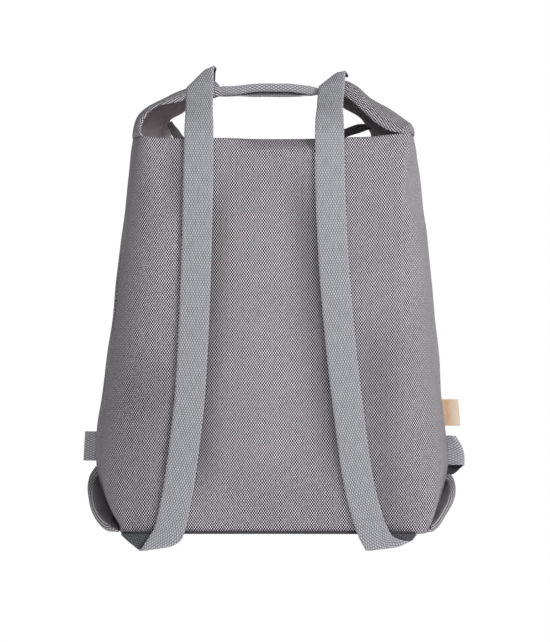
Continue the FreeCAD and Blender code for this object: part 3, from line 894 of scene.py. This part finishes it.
def build_ears():
    """Cloth ears with turned hems and their stitching."""
    made = finishes()
    weave, coating = made["basket_weave"], made["coated_back"]
    for side, inside in (("left", (-100, 0, 405)), ("right", (100, 0, 405))):
        ear = sew(measured_grid(56, 96, lambda u, v: ear_point(side, u, v)), "ear_" + side + "_cloth",
                  [weave, coating], ["ear_" + side], FABRIC, inside)
        sewn_on = []
        for name, inner in (("near", weave), ("far", coating)):
            near = name == "near"

            def hem_shape(u, v):
                across = u * (0.09 + 0.06 * v) if near else 1 - u * 0.06
                return ear_point(side, across, 0.05 + 0.9 * v, 1.55)
            hem = sew(measured_grid(6, 80, hem_shape), "ear_hem_" + side + "_" + name, [weave, inner], (),
                      0.9, inside)
            line = []
            for k in range(91):
                from_hem = 0.075 + 0.05 * k / 90
                across = from_hem if near else 1 - from_hem
                line.append(ear_point(side, across, 0.08 + 0.84 * k / 90, -0.15))
            stitches = stitch_row("ear_stitches_" + side + "_" + name, line, BAG, made["body_thread"],
                                  3.2, 2.3, 0.55)
            sewn_on += [hem, stitches]


# ---------------------------------------------------------------- webbing
def roll_over(x, z, fold):
    """Rolls a point of a flat strip over a fold line; returns its x, its z and how far behind it lies."""
    (fold_x, fold_z), degrees, radius, upwards = fold
    angle = math.radians(degrees)
    line = Vector((math.cos(angle), math.sin(angle)))
    out = Vector((-line.y, line.x)) * (1 if upwards else -1)
    offset = Vector((x - fold_x, z - fold_z))
    reach, run = offset.dot(out), offset.dot(line)
    if reach <= 0:
        return x, z, 0.0
    if reach < math.pi * radius:
        lift, behind = radius * math.sin(reach / radius), radius * (1 - math.cos(reach / radius))
    else:
        lift, behind = math.pi * radius - reach, 2 * radius
    spot = line * run + out * lift
    return fold_x + spot.x, fold_z + spot.y, behind


# level of a strap's sewn end under the base, and how far it may reach along the base's edge
SEWN_LEVEL = -1.4
SEWN_REACH = 151.0
# middle line of each strap laid flat, from its sewn end up to the end behind the ear: x, z;
# the folds at its bottom and top: point of the fold line, its slope, roundness, whether it folds upwards
STRAPS = {
    "left": {
        "line": [(-134.5, -52), (-126.5, -38), (-118.0, -24), (-110.8, -12), (-103.9, 0), (-98.4, 21),
                 (-93, 49), (-87.5, 90), (-82.7, 133), (-79.6, 183), (-77.5, 233), (-75.5, 300),
                 (-74.3, 375), (-74.1, 403), (-74.5, 432), (-74.2, 460), (-73.8, 483)],
        "bottom": ((-113.5, -11.6), 8.5, 2.6, False),
        "top": ((-71.7, 461.6), 43.0, 3.8, True),
        "turn": 20.0,
    },
    "right": {
        "line": [(138, -34), (127.5, -26.5), (116.8, -19), (108.0, -12), (100.7, 0), (93.4, 21), (85.3, 53),
                 (78.5, 100), (71.9, 153), (68.6, 183), (62.6, 250), (58.6, 321), (57.4, 375), (57.4, 403),
                 (58.6, 433), (61.0, 460), (61.6, 479)],
        "bottom": ((109.0, -12.2), 7.5, 2.6, False),
        "top": ((63.2, 459.6), 36.0, 3.8, True),
        "turn": 29.0,
    },
}


def strap_depth(z):
    """Depth of the near face of a hanging strap: on the panel, over the rim and up to the ear."""
    if z < 14:
        return -66.4 - 3.4 * ease((14 - z) / 22)
    on_panel = -(half_depth(min(z, RIM)) + 2.2)
    over_rim = ease((z - 400) / 14) * 2.0
    up = max(0.0, z - 402) / 54
    return on_panel + over_rim + 34.5 * min(1.0, up) ** 0.94


def strap_point(side, across, travel, length):
    """Point of a strap: across runs from -15 to 15, travel from its sewn end upwards."""
    strap = STRAPS[side]
    keys = strap["keys"]
    x, z = along(keys, travel)
    ahead_x, ahead_z = along(keys, min(travel + 1.5, length))
    back_x, back_z = along(keys, max(travel - 1.5, 0.0))
    heading = Vector((ahead_x - back_x, ahead_z - back_z)).normalized()
    turn = math.radians(strap["turn"] * ease((z - 398) / 34))
    shown = across * math.cos(turn) * (0.975 if z > 380 else 1.0)
    x, z = x + shown * heading.y, z - shown * heading.x
    x, z, behind_low = roll_over(x, z, strap["bottom"])
    x, z, behind_high = roll_over(x, z, strap["top"])
    y = strap_depth(min(z, 456.0)) + behind_low + behind_high - across * math.sin(turn)
    if behind_low > 1.0 and z > SEWN_LEVEL:
        y, z = y + z - SEWN_LEVEL, SEWN_LEVEL
        x = math.copysign(min(abs(x), SEWN_REACH), x)
    rounding = ease((-z - 2) / 11) if behind_low < 3.0 else ease((-z - 6) / 8)
    z += 4.2 * rounding * max(0.0, across - 7.0) ** 2 / 64.0
    z += 0.8 * rounding * max(0.0, -across - 11.0) ** 2 / 16.0
    z -= 2.2 * ease((z - 436) / 26) * max(0.0, across - 2.0) ** 2 / 169.0
    z -= 1.25 * behind_high * ease((across - 3.0) / 11.0)
    cup = 0.5 * (across / 15) ** 2
    flutter = 0.35 * ripple(x, 0, z, 40, 11 if side == "left" else 12)
    return Vector((x, y + cup + flutter, z))


def build_straps():
    """Shoulder straps: flat webbing from the sewn end under the base to the fold over the ear's tip."""
    made = finishes()
    for side in ("left", "right"):
        strap = STRAPS[side]
        length, keys = 0.0, []
        for k, (x, z) in enumerate(strap["line"]):
            if k:
                px, pz = strap["line"][k - 1]
                length += math.hypot(x - px, z - pz)
            keys.append((length, x, z))
        strap["keys"] = keys

        def place(u, v):
            across, travel = WEBBING_WIDTH * (u - 0.5), length * v
            return strap_point(side, across, travel, length), (across, travel)
        bm = cloth_grid(14, 400, place)
        hanging = [f for f in bm.faces if 50 * MM < f.calc_center_median().z < 380 * MM]
        faces_along(bm, (0, -1, 0), hanging)
        piece = sew(bm, "strap_" + side + "_webbing", [made["webbing_face"], made["webbing_reverse"]],
                    ["strap_" + side, "strap_tail_" + side], WEBBING, body=None, offset=0.0)
        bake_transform(piece)


# handle's left end, length and middle height; its section in the middle and at the ends: across, y, z
HANDLE_START = -55.5
HANDLE_LENGTH = 104.5
HANDLE_LEVEL = 448.6
OPEN_LIPS = [
    (-13.5, -0.2, -0.4), (-11.4, -1.7, -2.0), (-9.2, -3.4, -1.4), (-6, -3.9, 2.2), (-3, -2.9, 5.7),
    (0, -0.4, 6.9), (3, 2.2, 5.8), (6, 3.6, 3.0), (9.5, 3.8, -0.5), (13, 2.8, -3.9), (16.5, 1.2, -6.9),
]
CLOSED_LIPS = [
    (-13.5, -0.6, -4.2), (-11.4, -2.0, -5.0), (-9.2, -3.2, -3.2), (-6, -3.3, 0.2), (-3, -2.4, 3.4),
    (0, -0.2, 5.2), (3, 2.0, 4.0), (6, 2.9, 1.0), (9.5, 2.8, -2.4), (13, 1.6, -5.2), (16.5, -1.4, -5.6),
]


def build_handle():
    """Grab handle: webbing folded round on itself, its lips open along the lower front edge."""
    made = finishes()

    def place(u, v):
        x = HANDLE_START + HANDLE_LENGTH * v
        across = OPEN_LIPS[0][0] + WEBBING_WIDTH * u
        share = ease((43 - abs(x)) / 30)
        y0, z0 = along(CLOSED_LIPS, across)
        y1, z1 = along(OPEN_LIPS, across)
        y, z = y0 + (y1 - y0) * share, z0 + (z1 - z0) * share
        pinch = 1 - 0.2 * ease((abs(x + 3) - 47) / 6) - 0.22 * ease((x - 38) / 8)
        twist = math.radians(-24 * ease((x - 26) / 20) + 8 * ease((-x - 34) / 14))
        y, z = y * math.cos(twist) - z * math.sin(twist), y * math.sin(twist) + z * math.cos(twist)
        middle = HANDLE_LEVEL + 1.3 * (1 - (x / 52) ** 2) + 0.5 * ripple(x, 0, 0, 22, 7)
        return Vector((x, y * pinch, middle + z * pinch)), (across - 1.5, x)
    handle = sew(cloth_grid(44, 130, place), "grab_handle_webbing",
                 [made["webbing_face"], made["webbing_inside"]], ["grab_handle"], 1.3,
                 (0, 0, 449.5), "handle")


# plan of each side trim, folded double: share of its length, distance out, depth
TAB_FOLD = [
    (0, 177.5, -1.6), (0.25, 184.5, -1.6), (0.44, 192.6, -1.5), (0.5, 194.0, 0.0), (0.56, 192.6, 1.5),
    (0.75, 184.5, 1.6), (1, 177.5, 1.6),
]
LOOP_FOLD = [
    (0, 177, -2.6), (0.18, 184, -5.0), (0.36, 190, -6.4), (0.46, 193.4, -4.4), (0.54, 193.4, 1.0),
    (0.66, 189, 4.4), (0.84, 182, 3.2), (1, 177, 1.0),
]
LABEL_FOLD = [
    (0, 173, -1.2), (0.2, 180, -1.5), (0.38, 188, -1.9), (0.47, 191.4, -1.5), (0.5, 192.4, 0),
    (0.53, 191.4, 1.5), (0.62, 188, 1.9), (0.8, 180, 1.5), (1, 173, 1.2),
]


def tab_skew(t, v):
    """Shift of the left tab's fold, which leans a little."""
    bow = math.sin(math.pi * t)
    return 1.7 * (0.6 - v) * bow, 0.0, 0.5 * bow


def loop_skew(t, v):
    """Shift of the right loop, whose far leg hangs lower than its near one."""
    reach = math.sin(math.pi * t)
    far_leg = ease((t - 0.45) / 0.45)
    out = (9.0 * (0.42 - v) + 3.4 * math.sin(math.pi * v)) * reach
    along_up = -1.5 * reach - 10.5 * far_leg + 1.6 * reach * (1 - far_leg)
    return out, -7.0 * far_leg * max(0.0, 0.55 - v), along_up


def label_skew(t, v):
    """Shift of the label's fold, which slants."""
    return 2.2 * (0.5 - v) * math.sin(math.pi * t), 0.0, 0.0


def side_strip(name, node, sign, path, low, height, skew, skins, thickness):
    """Strip folded double out of a side seam; path is its plan, skew shifts each of its points."""
    def place(u, v):
        x, y = along(path, u)
        shift_x, shift_y, shift_z = skew(u, v)
        point = Vector((sign * (x + shift_x), y + shift_y, low + height * v + shift_z))
        return point, ((v - 0.5) * height, u * 36)
    inside = (sign * (path[0][1] + 4), 0, low + height / 2)
    piece = sew(cloth_grid(40, 20, place), name, skins, [node], thickness, inside)
    return piece


def build_side_trims():
    """Left tab, right loop and the leather label, each sewn into a side seam."""
    made = finishes()
    face = made["webbing_face"]
    side_strip("side_tab_left_webbing", "side_tab_left", -1, TAB_FOLD, 67.8, 30, tab_skew,
               [face, made["webbing_reverse"]], 1.4)
    # the loop's inside wears the near-black copy of the webbing, painted shade
    side_strip("side_loop_webbing", "side_loop_right", 1, LOOP_FOLD, 64.0, 30, loop_skew,
               [face, made["loop_reverse"]], 1.5)
    label = side_strip("leather_label_fold", "leather_label", 1, LABEL_FOLD, 104.3, 27, label_skew,
                       [made["veg_leather"], made["leather_edge"]], 1.2)
    for spot, corner in zip(label.data.uv_layers["cloth"].data, label.data.loops):
        co = label.data.vertices[corner.vertex_index].co
        spot.uv = (co.x - 0.178, co.z - 0.104)
    for name, x, low, high, thread in (("side_tab_left", -182.6, 69, 97, "webbing_thread"),
                                       ("leather_label", 180.4, 106, 130, "label_thread")):
        line = [Vector((x, -1.75, low + (high - low) * k / 20)) for k in range(21)]
        stitch_row(name + "_stitches", line, BAG, made[thread], 2.9, 2.1, 0.5)


TOOTH_PITCH = 1.6
TOOTH_HALF_SIZES = (0.62, 1.75, 1.12)
# path of each zip end from the mouth to the ear (share, x, y, z), and the way its width runs
ZIP_ENDS = {
    "left": (-1, [(0, 71, 6.8, 385.5), (0.25, 80, 10, 391), (0.5, 93, 17, 398.5), (0.75, 101.5, 28, 408.5),
                  (1, 108.0, 37, 420)], Vector((-0.80, 0.1, 0.55))),
    "right": (1, [(0, 71, 6.8, 385.5), (0.2, 68, 8, 396), (0.38, 70, 11, 403.5), (0.55, 79, 17, 408.5),
                  (0.75, 90, 27, 413), (1, 102.5, 38.5, 416.5)], Vector((-0.35, 0.1, 0.93))),
}


def build_zip():
    """Zip panel: cloth strips, tape, coil teeth, slider, pull and the two ends."""
    made = finishes()
    skins = [made["basket_weave"], made["coated_back"]]
    low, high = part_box("zip_flap_back")
    half_length, edge, inner, top = high.x / MM, -low.y / MM, -high.y / MM, high.z / MM
    for side, sign in (("back", -1), ("front", 1)):
        def place(u, v):
            x = half_length * (2 * u - 1)
            y = inner - 4.0 + (edge - inner + 3.2) * v
            sag = 1.6 * math.sin(math.pi * v) * (0.8 + 0.3 * ripple(x, y * sign, 0, 30, 13))
            return Vector((x, sign * y, top - sag + 1.2 * v)), (x, sign * y)
        bm = cloth_grid(60, 18, place)
        faces_along(bm, (0, 0, 1))
        flap = sew(bm, "zip_flap_" + side + "_cloth", skins, ["zip_flap_" + side], 0.9)
        line = [Vector((half_length * (2 * k / 80 - 1), sign * (inner - 1.0), top + 0.15))
                for k in range(81)]
        stitch_row("zip_stitches_" + side, line, BAG, made["body_thread"], 3.2, 2.3, 0.5)
        low_coil, high_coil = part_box("zip_coil_" + side)
        near = min(abs(low_coil.y), abs(high_coil.y)) / MM
        level = (low_coil.z + high_coil.z) / 2 / MM
        bm = bmesh.new()
        for k in range(int((high_coil.x - low_coil.x) / (TOOTH_PITCH * MM))):
            spot = Vector((low_coil.x / MM + TOOTH_PITCH * (k + 0.5), sign * (near + 1.3), level))
            add_bead(bm, spot, Matrix.Rotation(0.12 * sign, 4, "Z"), TOOTH_HALF_SIZES)
        finish_piece(bm, "zip_coil_" + side + "_teeth", BAG, [made["nylon"]], ["zip_coil_" + side])
    for name in ("zip_tape_back", "zip_tape_front"):
        assign(name, made["zip_tape_cloth"])
    assign("coil_stops", made["nickel"])
    build_slider(made)
    build_pull(made)
    for side, (sign, path, lean_way) in ZIP_ENDS.items():
        def place(u, v):
            x, y, z = along(path, v)
            width = (12 - 3.5 * math.sin(math.pi * v)) * (1 - 0.5 * ease((v - 0.7) / 0.3))
            lean = lean_way * width * (u - 0.5)
            ruck = 0.8 * ripple(x, 30 * u, z, 9, 15)
            return Vector((sign * (x + lean.x), y + lean.y + ruck, z + lean.z)), (12 * (u - 0.5), 50 * v)
        bm = cloth_grid(8, 40, place)
        faces_along(bm, (0, -1, 0))
        tail = sew(bm, "zip_end_" + side + "_tape", [made["binding"], made["binding"]], ["zip_tail_" + side],
                   1.5, offset=0.0)


PLATE_SIDE = 9
BRIDGE_STEPS = 12


def build_slider(made):
    """Slider with waisted plates, a post between them and a bridge."""
    low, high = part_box("zip_slider")
    middle = (low + high) / 2
    coil_low, coil_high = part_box("zip_coil_back")
    level = (coil_low.z + coil_high.z) / 2
    bm = bmesh.new()
    for up in (-1, 1):
        place = Matrix.Translation((middle.x, 0, level + up * 1.6 * MM + up * 0.5 * MM))
        add_block(bm, place @ Matrix.Diagonal((PLATE_SIDE * MM, PLATE_SIDE * MM, MM, 1)), 0.42 * MM, 3)
    for vert in bm.verts:
        share = min(1.0, max(0.0, (vert.co.x - low.x) / (high.x - low.x)))
        vert.co.y *= 1 - 0.22 * math.sin(math.pi * share) ** 2
    post_size = Matrix.Diagonal((3 * MM, 0.55 * MM, 3.3 * MM, 1))
    post = Matrix.Translation((high.x - 1.5 * MM, 0, level)) @ post_size
    bmesh.ops.create_cube(bm, size=1.0, matrix=post)
    ring = []
    for k in range(BRIDGE_STEPS + 1):
        angle = math.pi * k / BRIDGE_STEPS
        out, up = 2.8 * MM * math.cos(angle), 3.0 * MM * math.sin(angle)
        ring.append(Vector((middle.x - out, 0, level + 2.5 * MM + up)))
    for a, b in zip(ring, ring[1:]):
        turn = (b - a).to_track_quat("X", "Z").to_matrix().to_4x4()
        shape = Matrix.Diagonal(((b - a).length * 1.25, 1.9 * MM, 0.75 * MM, 1))
        add_block(bm, Matrix.Translation((a + b) / 2) @ turn @ shape, 0.18 * MM, 2)
    finish_piece(bm, "zip_slider_body", "slider", [made["nickel"]], ["zip_slider"])


def build_pull(made):
    """Pull tongue with a window and rounded corners."""
    low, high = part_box("zip_pull")
    middle = (low + high) / 2
    bm = bmesh.new()
    length, width = high.x - low.x, 7 * MM
    matrix = Matrix.Translation((middle.x, 0, middle.z)) @ Matrix.Diagonal((length, width, MM, 1))
    bmesh.ops.create_cube(bm, size=1.0, matrix=matrix)
    bmesh.ops.subdivide_edges(bm, edges=bm.edges, cuts=7, use_grid_fill=True)
    window = []
    for face in bm.faces:
        spot = face.calc_center_median()
        in_window = abs(spot.x - (high.x - 3.6 * MM)) < 2.4 * MM and abs(spot.y) < 1.4 * MM
        if in_window and abs(face.normal.z) > 0.5:
            window.append(face)
    bmesh.ops.delete(bm, geom=window, context="FACES")
    bmesh.ops.bridge_loops(bm, edges=[edge for edge in bm.edges if edge.is_boundary])
    for vert in bm.verts:
        share = (high.x - vert.co.x) / length
        vert.co.y *= 1 - 0.18 * math.sin(math.pi * share) - 0.35 * ease((share - 0.93) / 0.07)
    bmesh.ops.recalc_face_normals(bm, faces=bm.faces)
    pull = finish_piece(bm, "zip_pull_tongue", "pull", [made["nickel"]], ["zip_pull"])
    rounded = pull.modifiers.new("Rounded", "BEVEL")
    rounded.width = 0.22 * MM
    rounded.segments = 2


def assign(node, material):
    """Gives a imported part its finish."""
    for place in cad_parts[node].material_slots:
        place.material = material


def build_seams():
    """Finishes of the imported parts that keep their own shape, and the straps' sewn ends."""
    made = finishes()
    assign("base_board", made["board"])
    for side in ("left", "right"):
        keys = STRAPS[side]["keys"]
        rows = [strap_point(side, 13.0 * (1 if k % 2 else -1), 2.2 + 0.4 * k, keys[-1][0]) for k in range(9)]
        zigzag = [a.lerp(b, t / 8) + Vector((0, 0, -1.0)) for a, b in zip(rows, rows[1:]) for t in range(8)]
        stitch_row("bar_tack_" + side, zigzag, BAG, made["body_thread"], 2.4, 2.2, 0.5)
    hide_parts("bar_tacks")


WHITE = (1.0, 1.0, 1.0, 1.0)
FLOOR_RADIUS = 1.3
SENSOR = 36.0
# camera's place across and up, in millimetres
CAMERA_AT = (2.5, 212)
# point that the lamps look at, and each lamp's share of the main power, size and place, in metres
LAMPS_AIM = Vector((0, 0, 0.22))
LAMPS = (
    ("key", 1.0, 0.8, (1.05, -1.05, 1.05)),
    ("front", 0.24, 0.7, (-0.12, -1.25, 0.85)),
    ("rim", 0.5, 1.2, (0.9, 1.4, 1.0)),
)


def build_stage():
    """Camera, pale floor and soft lamps."""
    scene = bpy.context.scene
    settings = scene.backpack_stage
    bm = bmesh.new()
    bmesh.ops.create_circle(bm, cap_ends=True, segments=96, radius=FLOOR_RADIUS,
                            matrix=Matrix.Translation((0, 0, -settings.floor_drop)))
    mesh = bpy.data.meshes.new("floor")
    bm.to_mesh(mesh)
    bm.free()
    floor = bpy.data.objects.new("floor", mesh)
    scene.collection.objects.link(floor)
    shader = Shader("studio_floor")
    mesh.materials.append(shader.finish((0.93, 0.93, 0.93), 0.9, None, Emission_Color=WHITE,
                                        Emission_Strength=0.6))

    world = bpy.data.worlds.new("studio")
    world.use_nodes = True
    tree = world.node_tree
    light = tree.nodes["Background"]
    light.inputs["Color"].default_value = WHITE
    light.inputs["Strength"].default_value = settings.sky
    seen = tree.nodes.new("ShaderNodeBackground")
    seen.inputs["Color"].default_value = WHITE
    either = tree.nodes.new("ShaderNodeMixShader")
    tree.links.new(tree.nodes.new("ShaderNodeLightPath").outputs["Is Camera Ray"], either.inputs["Fac"])
    tree.links.new(light.outputs[0], either.inputs[1])
    tree.links.new(seen.outputs[0], either.inputs[2])
    tree.links.new(either.outputs[0], tree.nodes["World Output"].inputs["Surface"])
    scene.world = world
    scene.view_settings.view_transform = "Standard"

    for name, share, size, spot in LAMPS:
        data = bpy.data.lights.new(name, "AREA")
        data.energy = settings.key * share
        data.size = size
        lamp = bpy.data.objects.new(name, data)
        lamp.location = spot
        lamp.rotation_euler = (LAMPS_AIM - Vector(spot)).to_track_quat("-Z", "Y").to_euler()
        scene.collection.objects.link(lamp)

    camera_data = bpy.data.cameras.new("camera")
    camera_data.lens = settings.lens
    camera_data.sensor_width = SENSOR
    camera_data.sensor_fit = "VERTICAL"
    camera_data.sensor_height = SENSOR
    camera_data.clip_end = 100.0
    camera = bpy.data.objects.new("camera", camera_data)
    camera.location = (CAMERA_AT[0] * MM, -settings.distance, CAMERA_AT[1] * MM)
    camera.rotation_euler = (math.pi / 2, 0, 0)
    scene.collection.objects.link(camera)
    scene.camera = camera


# ---------------------------------------------------------------- operators
class BACKPACK_OT_sack(bpy.types.Operator):
    """Builds the panels, hems, bindings, corner folds and base"""

    bl_idname = "backpack.sack"
    bl_label = "Sack"

    def execute(self, context):
        build_panels()
        build_corner_folds()
        build_base()
        return {"FINISHED"}


class BACKPACK_OT_ears(bpy.types.Operator):
    """Builds the two cloth ears and their hems"""

    bl_idname = "backpack.ears"
    bl_label = "Ears"

    def execute(self, context):
        build_ears()
        return {"FINISHED"}


class BACKPACK_OT_handle(bpy.types.Operator):
    """Builds the folded grab handle"""

    bl_idname = "backpack.handle"
    bl_label = "Handle"

    def execute(self, context):
        build_handle()
        return {"FINISHED"}


class BACKPACK_OT_straps(bpy.types.Operator):
    """Builds the shoulder straps and their sewn ends"""

    bl_idname = "backpack.straps"
    bl_label = "Straps"

    def execute(self, context):
        build_straps()
        build_seams()
        return {"FINISHED"}


class BACKPACK_OT_side_trims(bpy.types.Operator):
    """Builds the side tab, side loop and leather label"""

    bl_idname = "backpack.side_trims"
    bl_label = "Side trims"

    def execute(self, context):
        build_side_trims()
        return {"FINISHED"}


class BACKPACK_OT_zip(bpy.types.Operator):
    """Builds the recessed zip panel, slider and pull"""

    bl_idname = "backpack.zip"
    bl_label = "Zip"

    def execute(self, context):
        build_zip()
        return {"FINISHED"}


class BACKPACK_OT_stage(bpy.types.Operator):
    """Builds the camera, floor and lamps"""

    bl_idname = "backpack.stage"
    bl_label = "Stage"

    def execute(self, context):
        build_stage()
        return {"FINISHED"}


class BACKPACK_PT_panel(bpy.types.Panel):
    """Lists the steps and settings of the backpack"""

    bl_label = "Backpack"
    bl_idname = "BACKPACK_PT_panel"
    bl_space_type = "VIEW_3D"
    bl_region_type = "UI"
    bl_category = "Backpack"

    def draw(self, context):
        for group in ("backpack_cloth", "backpack_webbing", "backpack_stage"):
            settings = getattr(context.scene, group)
            box = self.layout.box()
            for name in settings.__annotations__:
                box.prop(settings, name)
        for step in STEPS:
            self.layout.operator(step.bl_idname)


STEPS = (BACKPACK_OT_stage, BACKPACK_OT_sack, BACKPACK_OT_ears, BACKPACK_OT_handle, BACKPACK_OT_straps,
         BACKPACK_OT_side_trims, BACKPACK_OT_zip)
GROUPS = {
    "backpack_cloth": BackpackCloth,
    "backpack_webbing": BackpackWebbing,
    "backpack_stage": BackpackStage,
}


def register():
    """Makes the settings, steps and panel known."""
    for cls in (*GROUPS.values(), *STEPS, BACKPACK_PT_panel):
        bpy.utils.register_class(cls)
    for name, cls in GROUPS.items():
        setattr(bpy.types.Scene, name, bpy.props.PointerProperty(type=cls))


def unregister():
    """Takes the settings, steps and panel away again."""
    for name in GROUPS:
        delattr(bpy.types.Scene, name)
    for cls in reversed((*GROUPS.values(), *STEPS, BACKPACK_PT_panel)):
        bpy.utils.unregister_class(cls)


def main():
    """Builds every group in order."""
    register()
    for step in STEPS:
        group, name = step.bl_idname.split(".")
        getattr(getattr(bpy.ops, group), name)()


if __name__ == "__main__":
    main()
